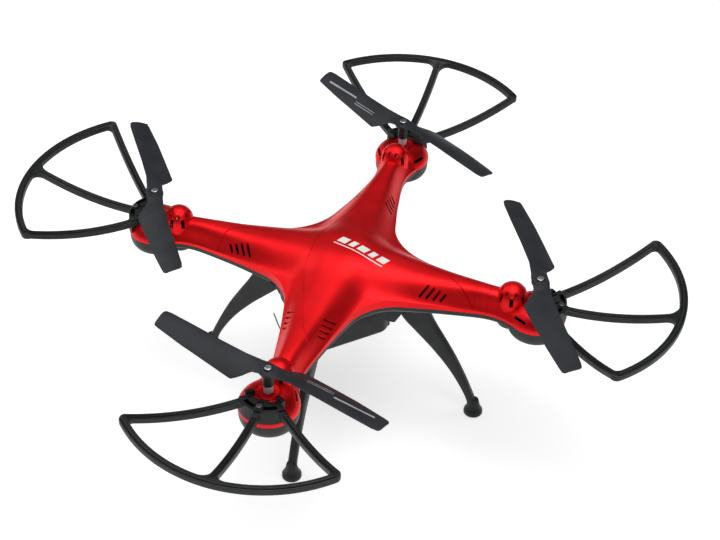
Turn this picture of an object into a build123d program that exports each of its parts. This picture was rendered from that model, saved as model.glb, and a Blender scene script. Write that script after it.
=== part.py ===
from build123d import *
import math
import os

# A toy drone with four arms. Millimetres, +Z up, +Y the nose, the origin on the ground under the centre.
# An arm is modelled lying along +X and turned into place; a rotor's own parts are modelled on its shaft.

# ---- driving dimensions ----
ARMS = {"front_right": 45, "front_left": 135, "rear_left": 225, "rear_right": 315}
REACH = 112.0  # body centre to rotor shaft
SEAM_Z = 85.0  # joint plane of the two shells
WALL = 1.2
FIT = 0.05  # clearance between fixed neighbours
RUN = 0.04  # radial clearance of a turning shaft
HEIGHT = 112.0  # top of the propeller screws

# arm sections, each (reach, half width at the seam, rise above it, depth below it)
ARM_SECTIONS = [
    (2, 25.2, 19.4, 5.5), (20, 24.2, 18.4, 5.5), (37, 19.5, 14.8, 5.5),
    (59, 13.9, 12.9, 5.2), (83, 8.9, 12.4, 5.0), (98, 7.4, 11.4, 5.0),
]
DOME_RADIUS = 33.0
DOME_RISE = 19.5
PAN_X = 20.5  # half width of the belly pan
PAN_Y = (-31.5, 25.5)
PAN_CORNER = 9.0
PAN_Z = 62.0  # underside of the belly pan

POD_RADIUS = 16.0
POD_TOP_Z = 95.0
POD_BOTTOM_Z = 74.8
POD_BOSS_RADIUS = 6.0
HUMP_RADIUS = 8.2
HUMP_TOP_Z = 103.2
HUMP_BOTTOM_Z = 76.0
HUMP_FILLET = 3.4

GEAR_MODULE = 0.5
GEAR_TEETH = 46
PINION_TEETH = 10
PRESSURE_ANGLE = math.radians(25)
GEAR_DISTANCE = GEAR_MODULE * (GEAR_TEETH + PINION_TEETH) / 2
MOTOR_REACH = REACH - GEAR_DISTANCE
GEAR_Z = (78.2, 80.2)
PINION_Z = (77.9, 80.6)
MOTOR_RADIUS = 3.5
MOTOR_Z = (83.0, 99.0)
SHELF_Z = 80.9  # underside of the shelf that the motor stands on
SHAFT_RADIUS = 1.0
SHAFT_Z = (75.6, 108.4)

BLADE_TIP = 67.5
PROPELLER_REST = {"front_right": 162.9, "front_left": 196.9, "rear_left": 167.9, "rear_right": 209.8}
CLOCKWISE = ("front_left", "rear_right")
HUB_Z = 99.9  # foot of the propeller's sleeve
HUB_RADIUS = 2.9
# blade sections, each (radius, leading y, trailing y, leading z, trailing z)
BLADE_SECTIONS = [
    (2.5, 5.0, -5.0, 110.4, 108.4), (7.0, 4.3, -6.2, 110.8, 108.0), (13.5, 4.2, -12.2, 111.0, 106.2),
    (38.0, 4.8, -8.9, 111.1, 108.2), (64.0, 4.7, -4.9, 111.1, 109.5), (66.8, 3.6, -3.8, 111.0, 109.8),
    (BLADE_TIP, 1.9, -2.0, 110.8, 110.1),
]
BLADE_THICKNESS = 0.9

GUARD_RADIUS = 78.4
GUARD_BAR = 5.0
GUARD_TOP_Z = 108.6
GUARD_DEPTH = 4.0
GUARD_HALF_ANGLE = 46.5
CLIP_TOP_Z = 96.4

LEG_THICKNESS = 6.0
FOOT_REACH = 81.8
FOOT_RADIUS = 5.5
FOOT_TOP_Z = 7.0

BOX_X = 19.0  # half width of the battery box
BOX_Y = (-30.0, 24.0)
BOX_Z = 45.0
DOOR_PIN = (23.0, 48.4)  # y and z of the battery door's hinge pin
DOOR_X = 12.8
DOOR_TOP_Z = 59.6
BOARD_HALF = 17.0
BOARD_Z = (77.8, 79.0)
SWITCH_AT = (-8.0, -33.3, 82.2)
SWITCH_BACK_Y = -29.1  # rear face of the power switch's housing
SWITCH_TRAVEL = 2.0
ARM_SCREW_REACH = 74.0

ANTENNA_DIAMETER = 0.9
ANTENNA_ROUTE = [
    (13.0, -31.3, 66.0), (12.5, -34.0, 65.2), (10.5, -38.0, 61.5), (5.5, -38.5, 56.2),
    (-1.1, -36.9, 52.0), (-9.0, -35.0, 48.5), (-16.5, -33.2, 46.2), (-24.0, -31.5, 44.5),
]


# ---- helpers ----
def rod(radius, z_low, z_high, x=0.0, y=0.0):
    """An upright cylinder."""
    return Pos(x, y, z_low) * Cylinder(radius, z_high - z_low, align=(Align.CENTER, Align.CENTER, Align.MIN))


def ring(outer, inner, z_low, z_high, x=0.0, y=0.0):
    """An upright tube."""
    return rod(outer, z_low, z_high, x, y) - rod(inner, z_low - 1, z_high + 1, x, y)


def block(x, y, z):
    """A box given by its low and high limits along each axis."""
    size = [high - low for low, high in (x, y, z)]
    return Pos(x[0], y[0], z[0]) * Box(*size, align=(Align.MIN, Align.MIN, Align.MIN))


def turned(outline, x=0.0):
    """The solid of a closed (radius, z) outline turned about an upright axis at x."""
    return Pos(x, 0, 0) * revolve(Plane.XZ * outline, Axis.Z)


def plate_on_edge(outline, thickness):
    """A closed (x, z) outline given a thickness about the arm's own plane."""
    return extrude(Plane.XZ * outline, thickness / 2, both=True)


def on_arms(shape):
    """Four copies of a shape modelled on the +X arm, keyed by arm name."""
    return {arm: Rot(0, 0, angle) * shape for arm, angle in ARMS.items()}


def arc_corners(points, share=0.45):
    """For each inner point of a route, the radius of an arc that its two runs have room for."""
    corners = [Vector(*point) for point in points]
    radii = []
    for before, corner, after in zip(corners, corners[1:], corners[2:]):
        arriving = corner - before
        leaving = after - corner
        turn = math.radians(arriving.get_angle(leaving))
        radii.append(share * min(arriving.length, leaving.length) / math.tan(turn / 2))
    return radii


def tube(points, diameter):
    """A round wire along straight runs joined by tangent arcs."""
    path = FilletPolyline(*points, radius=arc_corners(points)) if len(points) > 2 else Line(*points)
    profile = Plane(origin=path @ 0, z_dir=path % 0) * Circle(diameter / 2)
    return sweep(profile, path=path)


# ---- shells ----
def oval(reach, half_width, rise, skirt):
    """Half an oval across the arm. A negative rise hangs down; a skirt carries it past the seam."""
    side = 1 if rise > 0 else -1
    start = 0 if rise > 0 else 180
    arc = EllipticalCenterArc((0, 0), half_width, abs(rise), start_angle=start, arc_size=180)
    end_x = (arc @ 1).X
    foot = -side * skirt
    closing = Polyline(arc @ 1, (end_x, foot), (-end_x, foot), arc @ 0) if skirt else Line(arc @ 1, arc @ 0)
    across = Plane(origin=(reach, 0, SEAM_Z), x_dir=(0, 1, 0), z_dir=(1, 0, 0))
    return across * make_face([arc, closing])


def arm_loft(inset, upper):
    """The arm's upper or lower half, with its walls moved in by the inset."""
    skirt = 0.5 if inset else 0
    faces = []
    for reach, half_width, rise, depth in ARM_SECTIONS:
        height = rise - inset if upper else -(depth - inset)
        faces.append(oval(reach, half_width - inset, height, skirt))
    return loft(faces)


def pod_outline(inset, upper):
    """Half the pod's section: the dome above the seam, or the dish below it."""
    radius = POD_RADIUS - inset
    skirt = 0.5 if inset else 0
    if upper:
        top = POD_TOP_Z - inset
        curve = ThreePointArc((radius, SEAM_Z + 1.5), (12.3 - inset, 92.2 - inset), (POD_BOSS_RADIUS, top))
        foot = SEAM_Z - skirt
    else:
        top = POD_BOTTOM_Z + inset
        curve = TangentArc((radius, POD_BOTTOM_Z + 5), (11, top), tangent=(0, -1))
        foot = SEAM_Z + skirt
    rest = Polyline(curve @ 1, (0, top), (0, foot), (radius, foot), curve @ 0)
    return make_face([curve, rest])


def motor_hump(inset, upper):
    """The round cover over the motor, or the bump under its pinion."""
    radius = HUMP_RADIUS - inset
    skirt = 0.5 if inset else 0
    if upper:
        waist = HUMP_TOP_Z - HUMP_RADIUS
        cap = CenterArc((0, waist), radius, start_angle=0, arc_size=90)
        rest = Polyline(cap @ 1, (0, SEAM_Z - skirt), (radius, SEAM_Z - skirt), cap @ 0)
        return turned(make_face([cap, rest]), MOTOR_REACH)
    hump = rod(radius, HUMP_BOTTOM_Z + inset, SEAM_Z + skirt, MOTOR_REACH)
    return fillet(hump.edges().sort_by(Axis.Z)[0], HUMP_FILLET - inset)


def dome(inset):
    """The crown over the middle of the body."""
    radius = DOME_RADIUS - inset
    rise = DOME_RISE - inset
    arc = EllipticalCenterArc((0, SEAM_Z), radius, rise, start_angle=0, arc_size=90)
    foot = SEAM_Z - (0.5 if inset else 0)
    rest = Polyline(arc @ 1, (0, foot), (radius, foot), arc @ 0) if inset else Polyline(arc @ 1, (0, foot), arc @ 0)
    return turned(make_face([arc, rest]))


def pan(inset):
    """The rounded belly pan, with its walls moved in by the inset."""
    middle = (PAN_Y[0] + PAN_Y[1]) / 2
    plan = RectangleRounded(2 * (PAN_X - inset), PAN_Y[1] - PAN_Y[0] - 2 * inset, PAN_CORNER - inset)
    top = SEAM_Z + (0.5 if inset else 0)
    form = Pos(0, middle, PAN_Z + inset) * extrude(plan, top - PAN_Z - inset)
    return fillet(form.faces().sort_by(Axis.Z)[0].edges(), 3.0 - inset)


def half_body(inset, upper):
    """The whole upper or lower form, solid, with its walls moved in by the inset."""
    arm = arm_loft(inset, upper)
    arm += turned(pod_outline(inset, upper), REACH)
    arm += motor_hump(inset, upper)
    if upper:
        body = dome(inset)
    else:
        body = pan(inset)
    for copy in on_arms(arm).values():
        body += copy
    return body


def upper_boss():
    """Screw post and bush seat, on one arm."""
    post = rod(2.3, SEAM_Z - 3.4, SEAM_Z + 11.8, ARM_SCREW_REACH)
    seat = ring(4.0, 2.2, 89.0, POD_TOP_Z - WALL / 2, REACH)
    return post + seat


def upper_cuts():
    """Everything cut from one arm of the upper shell."""
    cuts = rod(2.2, 88.9, 96, REACH)
    cuts += rod(0.8, SEAM_Z - 5, SEAM_Z + 6, ARM_SCREW_REACH)
    cuts += rod(0.85, 86, 97, REACH + 13)
    for side in (-1, 1):
        outward = Pos(REACH, 0, 90.2) * Rot(0, 0, side * 117) * Pos(14, 0, 0) * Rot(0, -40, 0)
        cuts += outward * Box(4.5, 7.5, 1.7)
        for index in range(4):
            reach = 50.5 + 3.5 * index
            cuts += Pos(reach, side * (11.8 - 0.1 * index), 93) * Box(1.3, 6.2 - 1.1 * index, 9)
        for angle in (30, 82, 130):
            away = Pos(MOTOR_REACH, 0, 97.4) * Rot(0, 0, side * angle)
            cuts += away * Pos(HUMP_RADIUS - 0.6, 0, 0) * Box(4, 1.5, 5.6)
    return cuts


def top_shell():
    """The red upper shell: a thin star-shaped cover with four pods and motor humps."""
    shell = half_body(0, True) - half_body(WALL, True)
    for boss in on_arms(upper_boss()).values():
        shell += boss
    for cuts in on_arms(upper_cuts()).values():
        shell -= cuts
    return shell


def lower_boss():
    """Bush seat, motor shelf and cup, screw seats and the leg's seat, on one arm."""
    boss = rod(3.6, POD_BOTTOM_Z, 77.4, REACH)
    boss += rod(7.2, SHELF_Z, MOTOR_Z[0], MOTOR_REACH)
    boss += ring(5.4, MOTOR_RADIUS + FIT, MOTOR_Z[0], 88.0, MOTOR_REACH)
    slope = Polyline((24.3, PAN_Z), (33.6, PAN_Z), (43.0, 80.4), (24.3, 80.4), close=True)
    boss += plate_on_edge(make_face(slope), 15)
    for side in (-1, 1):
        boss += rod(1.9, 79.4, SEAM_Z - 0.5, 47.5, side * 5)
    return boss


def lower_cuts():
    """Everything cut from one arm of the lower shell."""
    cuts = rod(2.2, 75.4, 79, REACH)
    cuts += rod(2.4, SHELF_Z - 0.4, 84, MOTOR_REACH)
    cuts += rod(0.9, SEAM_Z - 7, SEAM_Z, ARM_SCREW_REACH)
    cuts += rod(1.5, POD_BOTTOM_Z - 1, POD_BOTTOM_Z + 2, REACH + 9)
    for side in (-1, 1):
        cuts += rod(0.8, 78, SEAM_Z, 47.5, side * 5)
    return cuts


def bottom_shell():
    """The slate lower shell: arm troughs, pod dishes and the round belly pan."""
    inside = half_body(WALL, False)
    shell = half_body(0, False)
    bosses = on_arms(lower_boss())
    for boss in bosses.values():
        shell += boss
    shell -= inside
    for boss in bosses.values():
        shell += boss & inside
    for x in (-14, 14):
        for y in (-14, 14):
            shell += rod(2.2, PAN_Z + 0.5, BOARD_Z[0], x, y)
            shell -= rod(0.7, BOARD_Z[0] - 6, BOARD_Z[0] + 1, x, y)
    for cuts in on_arms(lower_cuts()).values():
        shell -= cuts
    x, y, z = SWITCH_AT
    shell -= block((x - 2.6, x + 2.6), (y - 6, SWITCH_BACK_Y + 0.1), (z - 0.9, z + 0.9))
    shell -= rod(3.0, PAN_Z - 1, PAN_Z + 3, 0, -20)
    start = ANTENNA_ROUTE[0]
    shell -= Pos(start[0], start[1], start[2]) * Rot(90, 0, 0) * Cylinder(ANTENNA_DIAMETER / 2 + FIT, 6)
    return shell


# ---- drive ----
def involute_gear(teeth, z, bore, thin):
    """A spur gear: tooth 0 points along +X, and each flank is thinned by a little backlash."""
    pitch = GEAR_MODULE * teeth / 2
    base = pitch * math.cos(PRESSURE_ANGLE)
    tip = pitch + 0.8 * GEAR_MODULE
    root = pitch - 1.05 * GEAR_MODULE
    half_tooth = math.pi / (2 * teeth) - thin / pitch
    involute_at_pitch = math.tan(PRESSURE_ANGLE) - PRESSURE_ANGLE

    def half_angle(radius):
        roll = math.acos(min(1.0, base / radius))
        return half_tooth + involute_at_pitch - (math.tan(roll) - roll)

    start = max(root, base)
    radii = [start + (tip - start) * step / 3 for step in range(4)]
    flank = [(radius, half_angle(radius)) for radius in radii]
    if root < base:
        flank.insert(0, (root, half_angle(base)))
    outline = []
    for tooth in range(teeth):
        middle = 2 * math.pi * tooth / teeth
        for radius, angle in flank:
            outline.append((radius * math.cos(middle - angle), radius * math.sin(middle - angle)))
        for radius, angle in reversed(flank):
            outline.append((radius * math.cos(middle + angle), radius * math.sin(middle + angle)))
    wheel = extrude(make_face(Polyline(*outline, close=True)), z[1] - z[0])
    return Pos(0, 0, z[0]) * (wheel - rod(bore, -1, 5))


def drive_gear():
    """The large gear on the rotor shaft, with a boss and lightening holes."""
    gear = involute_gear(GEAR_TEETH, GEAR_Z, SHAFT_RADIUS + 0.01, 0.04)
    gear += ring(2.6, SHAFT_RADIUS + 0.01, GEAR_Z[0], GEAR_Z[1] + 3.0)
    for index in range(6):
        gear -= Rot(0, 0, 60 * index + 30) * rod(2.2, GEAR_Z[0] - 1, GEAR_Z[1] + 1, 6.9)
    return gear


def motor_pinion():
    """The motor's small gear, with the motor's own thin shaft."""
    half_pitch = 180 / PINION_TEETH
    gear = Rot(0, 0, half_pitch) * involute_gear(PINION_TEETH, PINION_Z, 0.4, 0.04)
    return gear + rod(0.5, PINION_Z[0] - 0.3, MOTOR_Z[0] + 2.0)


def motor():
    """A coreless motor: a plain can with a stepped end cap and a bore for its shaft."""
    can = rod(MOTOR_RADIUS, *MOTOR_Z)
    can = chamfer(can.edges().group_by(Axis.Z)[-1], 0.5)
    can -= rod(0.5 + RUN, MOTOR_Z[0] - 1, MOTOR_Z[0] + 4)
    return can - ring(2.6, 1.6, MOTOR_Z[0] - 1, MOTOR_Z[0] + 0.4)


def rotor_shaft():
    """The steel shaft, tapped at its top for the propeller screw."""
    shaft = rod(SHAFT_RADIUS, *SHAFT_Z)
    return shaft - rod(0.6, SHAFT_Z[1] - 4.5, SHAFT_Z[1] + 1)


def shaft_collar():
    """The pale collar that holds the propeller off the pod."""
    collar = ring(2.5, SHAFT_RADIUS + 0.01, POD_TOP_Z + 0.35, HUB_Z - 0.05)
    return collar


def rotor_bushes():
    """The two bushes that one rotor shaft turns in."""
    bore = SHAFT_RADIUS + RUN
    return [ring(2.18, bore, 75.42, 77.8, REACH), ring(2.18, bore, 89.2, 94.6, REACH)]


def blade_section(radius, lead_y, trail_y, lead_z, trail_z):
    """A thin six-sided aerofoil across the blade at one radius."""
    chord = Vector(trail_y - lead_y, trail_z - lead_z)
    thick = Vector(0, BLADE_THICKNESS / 2)
    lead = Vector(lead_y, lead_z)
    points = [lead, lead + chord * 0.25 + thick, lead + chord * 0.65 + thick, lead + chord]
    points += [lead + chord * 0.65 - thick, lead + chord * 0.25 - thick]
    across = Plane(origin=(radius, 0, 0), x_dir=(0, 1, 0), z_dir=(1, 0, 0))
    return across * make_face(Polyline(*points, close=True))


def propeller():
    """A two-blade propeller that turns anticlockwise seen from above, one blade along +X."""
    blade = loft([blade_section(*section) for section in BLADE_SECTIONS], ruled=True)
    hub = rod(4.9, 107.9, 111.2)
    hub = fillet(hub.edges().group_by(Axis.Z)[-1], 0.6)
    screw = rod(HUB_RADIUS, HUB_Z, 109) + hub + blade + Rot(0, 0, 180) * blade
    screw -= rod(SHAFT_RADIUS + 0.01, HUB_Z - 1, SHAFT_Z[1])
    screw -= rod(0.7, SHAFT_Z[1] - 1, 112)
    return screw - rod(2.2, 110.7, 113)


def propeller_screw():
    """A small cross-head screw in the hub's recess."""
    head = rod(1.9, 110.7, HEIGHT)
    head = fillet(head.edges().group_by(Axis.Z)[-1], 0.5)
    for angle in (0, 90):
        head -= Rot(0, 0, angle) * block((-1.1, 1.1), (-0.22, 0.22), (HEIGHT - 0.6, HEIGHT + 1))
    return head + rod(0.55, SHAFT_Z[1] - 3.5, 110.8)


# ---- guard, leg ----
def guard_spoke(angle):
    """One spoke, rising in a shallow curve from the clip to the ring."""
    reaches = (13.0, 30.0, 46.0, 61.0, 76.0)
    tops = [(reach, 95.0 + 13.0 * ((reach - 15.0) / 60.0) ** 2) for reach in reaches]
    top = Spline(*tops)
    low = Spline(*[(reach, z - GUARD_DEPTH) for reach, z in reversed(tops)])
    outline = make_face([top, Line(top @ 1, low @ 0), low, Line(low @ 1, top @ 0)])
    return Rot(0, 0, angle) * plate_on_edge(outline, GUARD_BAR)


def sector(half_angle, reach):
    """A flat wedge about +X, used to trim rings."""
    wide = math.radians(half_angle)
    corners = [(0, 0), (reach * math.cos(wide), -reach * math.sin(wide)), (2 * reach, 0)]
    corners.append((reach * math.cos(wide), reach * math.sin(wide)))
    return make_face(Polyline(*corners, close=True))


def guard():
    """A propeller guard: a clip on the pod, three spokes and a ring sector."""
    low = GUARD_TOP_Z - GUARD_DEPTH
    hoop = ring(GUARD_RADIUS, GUARD_RADIUS - GUARD_BAR, low, GUARD_TOP_Z)
    hoop &= Pos(0, 0, low - 1) * extrude(sector(GUARD_HALF_ANGLE, 100), GUARD_DEPTH + 2)
    clip = ring(15.7, 8.6, 89.6, CLIP_TOP_Z)
    clip &= Pos(0, 0, 88) * extrude(sector(52, 40), 12)
    piece = hoop + clip
    side = GUARD_HALF_ANGLE - 2.0
    for angle in (-side, 0, side):
        piece += guard_spoke(angle)
    cover = ring(POD_RADIUS + FIT, 0.1, SEAM_Z - 1, SEAM_Z + 1.5) + turned(pod_outline(0, True))
    piece -= Pos(0, 0, FIT) * cover
    piece -= rod(POD_RADIUS + FIT, SEAM_Z - 2, SEAM_Z + 1.6)
    return piece - rod(0.85, 86, 100, 13)


def leg():
    """A curved leg in its arm's upright plane, with a flange under the arm and a round foot."""
    outer = Spline((50.5, 79.3), (55.0, 66.0), (63.0, 53.5), (70.5, 40.0), (77.0, 26.0), (84.6, 5.0))
    inner = Spline((78.4, 5.0), (71.6, 21.7), (64.3, 35.8), (52.0, 47.3), (39.0, 57.3), (34.0, 61.6))
    root = Polyline(inner @ 1, (43.3, 79.3), outer @ 0)
    blade = plate_on_edge(make_face([outer, Line(outer @ 1, inner @ 0), inner, root]), LEG_THICKNESS)
    flange = block((43.6, 51.5), (-7.2, 7.2), (77.3, 79.3))
    foot = rod(FOOT_RADIUS, 0, FOOT_TOP_Z, FOOT_REACH)
    foot = fillet(foot.edges(), 1.4)
    piece = blade + flange + foot
    for side in (-1, 1):
        piece -= rod(0.85, 76, 80, 47.5, side * 5)
    return piece


# ---- battery box ----
def box_form(inset, top):
    """The rounded box under the belly, with its walls moved in by the inset."""
    width = 2 * (BOX_X - inset)
    length = BOX_Y[1] - BOX_Y[0] - 2 * inset
    middle = (BOX_Y[0] + BOX_Y[1]) / 2
    plan = RectangleRounded(width, length, 8.0 - inset)
    form = Pos(0, middle, BOX_Z + inset) * extrude(plan, top - BOX_Z - inset)
    return fillet(form.faces().sort_by(Axis.Z)[0].edges(), 3.0 - inset)


def battery_box():
    """The black box screwed under the pan, with a doorway in its front wall."""
    box = box_form(0, PAN_Z - FIT) - box_form(1.4, PAN_Z + 1)
    doorway = block((-DOOR_X - 0.3, DOOR_X + 0.3), (20, 26), (DOOR_PIN[1] - 1.6, DOOR_TOP_Z + 0.3))
    box -= doorway
    pin = Pos(0, *DOOR_PIN) * Rot(0, 90, 0) * Cylinder(0.5, 2 * DOOR_X + 4)
    for side in (-1, 1):
        x = sorted((side * (DOOR_X + 0.3), side * (DOOR_X + 2.6)))
        box += block(x, (21.6, 23.6), (DOOR_PIN[1] - 2, DOOR_PIN[1] + 2))
    return box - pin


def battery_door():
    """The door: a plate, a knuckle round the pin and a thumb ridge near its top."""
    y, z = DOOR_PIN
    plate = block((-DOOR_X, DOOR_X), (y - 0.1, y + 1.0), (z, DOOR_TOP_Z))
    knuckle = Pos(0, y, z) * Rot(0, 90, 0) * Cylinder(1.2, 2 * DOOR_X)
    ridge = block((-4, 4), (y + 0.9, y + 1.6), (DOOR_TOP_Z - 2.6, DOOR_TOP_Z - 1.8))
    hole = Pos(0, y, z) * Rot(0, 90, 0) * Cylinder(0.5 + RUN, 40)
    return plate + knuckle + ridge - hole


def battery():
    """A flat pouch cell in a sleeve."""
    cell = block((-14, 14), (-16, 20), (47.2, 58.4))
    return fillet(cell.edges(), 1.5)


def battery_lead():
    """Two wires from the cell's rear end up through the pan to the connector."""
    wires = []
    for x in (-1.2, 1.2):
        wires.append(tube([(x, -16.1, 53), (x, -20, 53), (x, -20, 72.2)], 1.3))
    return Compound(wires)


def connector():
    """The two-way socket under the board."""
    return block((-3.2, 3.2), (-22, -18), (72.3, BOARD_Z[0] - FIT))


# ---- electronics ----
def circuit_board():
    """The flight board on its four posts."""
    board = extrude(RectangleRounded(2 * BOARD_HALF, 2 * BOARD_HALF, 4.0), BOARD_Z[1] - BOARD_Z[0])
    board = Pos(0, 0, BOARD_Z[0]) * board
    for x in (-14, 14):
        for y in (-14, 14):
            board -= rod(0.9, BOARD_Z[0] - 1, BOARD_Z[1] + 1, x, y)
    return board


def board_components():
    """Processor, radio, gyro, four motor switches, crystal and capacitors."""
    z = BOARD_Z[1] + 0.02
    parts = [block((-4, 4), (-4, 4), (z, z + 1.2)), block((8, 13), (-2, 3), (z, z + 1.0))]
    parts.append(block((-13, -9), (-2, 2), (z, z + 1.0)))
    parts.append(rod(2.5, z, z + 5, 0, -14))
    parts.append(block((-4, 6), (8, 11), (z, z + 2.6)))
    for turn in (0, 90, 180, 270):
        parts.append(Rot(0, 0, turn) * block((7, 10), (12.5, 15.5), (z, z + 1.1)))
    return Compound(parts)


def motor_wires():
    """A pair of wires along each arm, from the board's corner to the motor."""
    wires = []
    for arm in ARMS.values():
        for side in (-1, 1):
            route = [(21.5, side * 2.6, 79.8), (27.5, side * 3.0, 84.0), (34.0, side * 3.6, 88.6)]
            route += [(82.0, side * 3.4, 90.0), (94.4, side * 2.2, 90.0)]
            wires.append(Rot(0, 0, arm) * tube(route, 0.9))
    return Compound(wires)


def power_switch_body():
    """The slide switch's housing, behind its slot in the rear rim."""
    x, _, z = SWITCH_AT
    y = SWITCH_BACK_Y
    housing = block((x - 3.4, x + 3.4), (y, y + 3.2), (z - 2.1, z + 2.1))
    return housing - block((x - 2.6, x + 2.6), (y - 0.1, y + 1.8), (z - 0.85, z + 0.85))


def power_switch_slider():
    """The slider, resting at one end of its travel."""
    x, y, z = SWITCH_AT
    x -= SWITCH_TRAVEL / 2
    slider = block((x - 1.3, x + 1.3), (y - 0.6, SWITCH_BACK_Y + 1.5), (z - 0.55, z + 0.55))
    return fillet(slider.edges().group_by(Axis.Y)[0], 0.3)


# ---- screws, small parts ----
def pan_head_screw(radius, shank, z_head, head_height, z_tip):
    """A screw pointing up, its head below."""
    head = rod(radius, z_head, z_head + head_height)
    head = fillet(head.edges().group_by(Axis.Z)[0], head_height * 0.4)
    slot = block((-radius * 0.6, radius * 0.6), (-0.2, 0.2), (z_head - 1, z_head + head_height * 0.5))
    return head - slot + rod(shank, z_head + head_height * 0.9, z_tip)


def shell_screws():
    """One screw up through each arm's trough."""
    one = Pos(ARM_SCREW_REACH, 0, 0) * pan_head_screw(1.7, 0.75, SEAM_Z - 6.4, 1.2, SEAM_Z + 4)
    return Compound(list(on_arms(one).values()))


def leg_screws():
    """Two screws up through each leg's flange."""
    screws = []
    for side in (-1, 1):
        one = Pos(47.5, side * 5, 0) * pan_head_screw(1.5, 0.75, 76.2, 1.1, 84.0)
        screws += list(on_arms(one).values())
    return Compound(screws)


def guard_screws():
    """One screw down through each guard's clip."""
    one = Pos(REACH + 13, 0, 0) * Rot(180, 0, 0) * pan_head_screw(1.6, 0.8, -CLIP_TOP_Z - 1.05, 1.0, -88.5)
    return Compound(list(on_arms(one).values()))


def status_lights():
    """A clear lens through the floor of each pod dish."""
    lens = rod(1.45, POD_BOTTOM_Z - 0.4, POD_BOTTOM_Z + 1.9, REACH + 9)
    lens = fillet(lens.edges().group_by(Axis.Z)[0], 0.4)
    return Compound(list(on_arms(lens).values()))


def bushes():
    """All eight bushes."""
    found = []
    for one in rotor_bushes():
        found += list(on_arms(one).values())
    return Compound(found)


# ---- writing ----
def save(name, shape):
    """Writes one node."""
    export_step(shape, f"parts/{name}.step")


def save_on_arms(name, shape):
    """Writes one node per arm, from a shape modelled on the +X arm."""
    for arm, copy in on_arms(shape).items():
        save(f"{name}_{arm}", copy)


def save_propellers():
    """Writes the propellers at their rest angles, two of them mirrored."""
    forward = propeller()
    backward = mirror(forward, about=Plane.XZ)
    for arm, angle in ARMS.items():
        blades = backward if arm in CLOCKWISE else forward
        shaft = Rot(0, 0, angle) * Pos(REACH, 0, 0)
        save(f"propeller_{arm}", Pos(shaft.position) * Rot(0, 0, PROPELLER_REST[arm]) * blades)


os.makedirs("parts", exist_ok=True)
save("top_shell", top_shell())
save("bottom_shell", bottom_shell())
save_on_arms("leg", leg())
save_on_arms("guard", Pos(REACH, 0, 0) * guard())
save_propellers()
save_on_arms("propeller_screw", Pos(REACH, 0, 0) * propeller_screw())
save_on_arms("shaft_collar", Pos(REACH, 0, 0) * shaft_collar())
save_on_arms("rotor_shaft", Pos(REACH, 0, 0) * rotor_shaft())
save_on_arms("drive_gear", Pos(REACH, 0, 0) * drive_gear())
save_on_arms("motor", Pos(MOTOR_REACH, 0, 0) * motor())
save_on_arms("motor_pinion", Pos(MOTOR_REACH, 0, 0) * motor_pinion())
save("shaft_bushes", bushes())
save("battery_box", battery_box())
save("battery_door", battery_door())
save("door_hinge_pin", Pos(0, *DOOR_PIN) * Rot(0, 90, 0) * Cylinder(0.5, 2 * DOOR_X + 3.4))
save("battery", battery())
save("battery_lead", battery_lead())
save("battery_connector", connector())
save("circuit_board", circuit_board())
save("board_components", board_components())
save("motor_wires", motor_wires())
save("power_switch_body", power_switch_body())
save("power_switch_slider", power_switch_slider())
save("shell_screws", shell_screws())
save("leg_screws", leg_screws())
save("guard_screws", guard_screws())
save("status_lights", status_lights())
save("antenna_wire", tube(ANTENNA_ROUTE, ANTENNA_DIAMETER))
print("antenna arcs, mm:", [round(radius, 1) for radius in arc_corners(ANTENNA_ROUTE)])
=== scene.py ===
import math

import bmesh
import bpy
import numpy as np
from mathutils import Matrix, Vector
from mathutils.geometry import tessellate_polygon


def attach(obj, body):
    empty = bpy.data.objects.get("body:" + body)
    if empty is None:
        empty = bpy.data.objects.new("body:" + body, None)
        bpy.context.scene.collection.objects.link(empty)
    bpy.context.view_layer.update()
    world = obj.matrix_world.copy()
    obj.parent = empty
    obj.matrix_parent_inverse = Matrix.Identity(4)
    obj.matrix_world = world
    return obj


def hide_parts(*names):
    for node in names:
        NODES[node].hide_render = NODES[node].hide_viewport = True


# A toy drone with four arms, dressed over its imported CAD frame. Shapes are written in millimetres:
# the nose is +Y, the ground is z = 0, and an arm is modelled lying along +X, then turned into place.
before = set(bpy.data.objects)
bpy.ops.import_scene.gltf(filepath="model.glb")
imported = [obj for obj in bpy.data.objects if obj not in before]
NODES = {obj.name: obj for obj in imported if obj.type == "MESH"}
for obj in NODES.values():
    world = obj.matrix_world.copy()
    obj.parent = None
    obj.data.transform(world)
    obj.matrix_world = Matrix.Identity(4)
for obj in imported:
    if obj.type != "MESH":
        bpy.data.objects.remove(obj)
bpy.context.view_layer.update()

MM = 0.001
ARMS = {"front_right": 45, "front_left": 135, "rear_left": 225, "rear_right": 315}
SEAM_Z = 85.0
WALL = 1.2
REACH = 112.0
HUMP_REACH = 98.0


# ---- camera, light, floor ----
def make_camera():
    """The camera that sees the drone as the photograph does."""
    data = bpy.data.cameras.new("camera")
    data.lens = 79.69
    data.sensor_width = 36
    data.clip_start = 0.05
    camera = bpy.data.objects.new("camera", data)
    looks = Vector((-0.6737, 0.3450, -0.6536)).to_track_quat("-Z", "Y").to_matrix()
    camera.rotation_euler = (looks @ Matrix.Rotation(math.radians(1.25), 3, "Z")).to_euler()
    camera.location = (0.6055, -0.2984, 0.6680)
    bpy.context.scene.collection.objects.link(camera)
    bpy.context.scene.camera = camera


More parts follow.
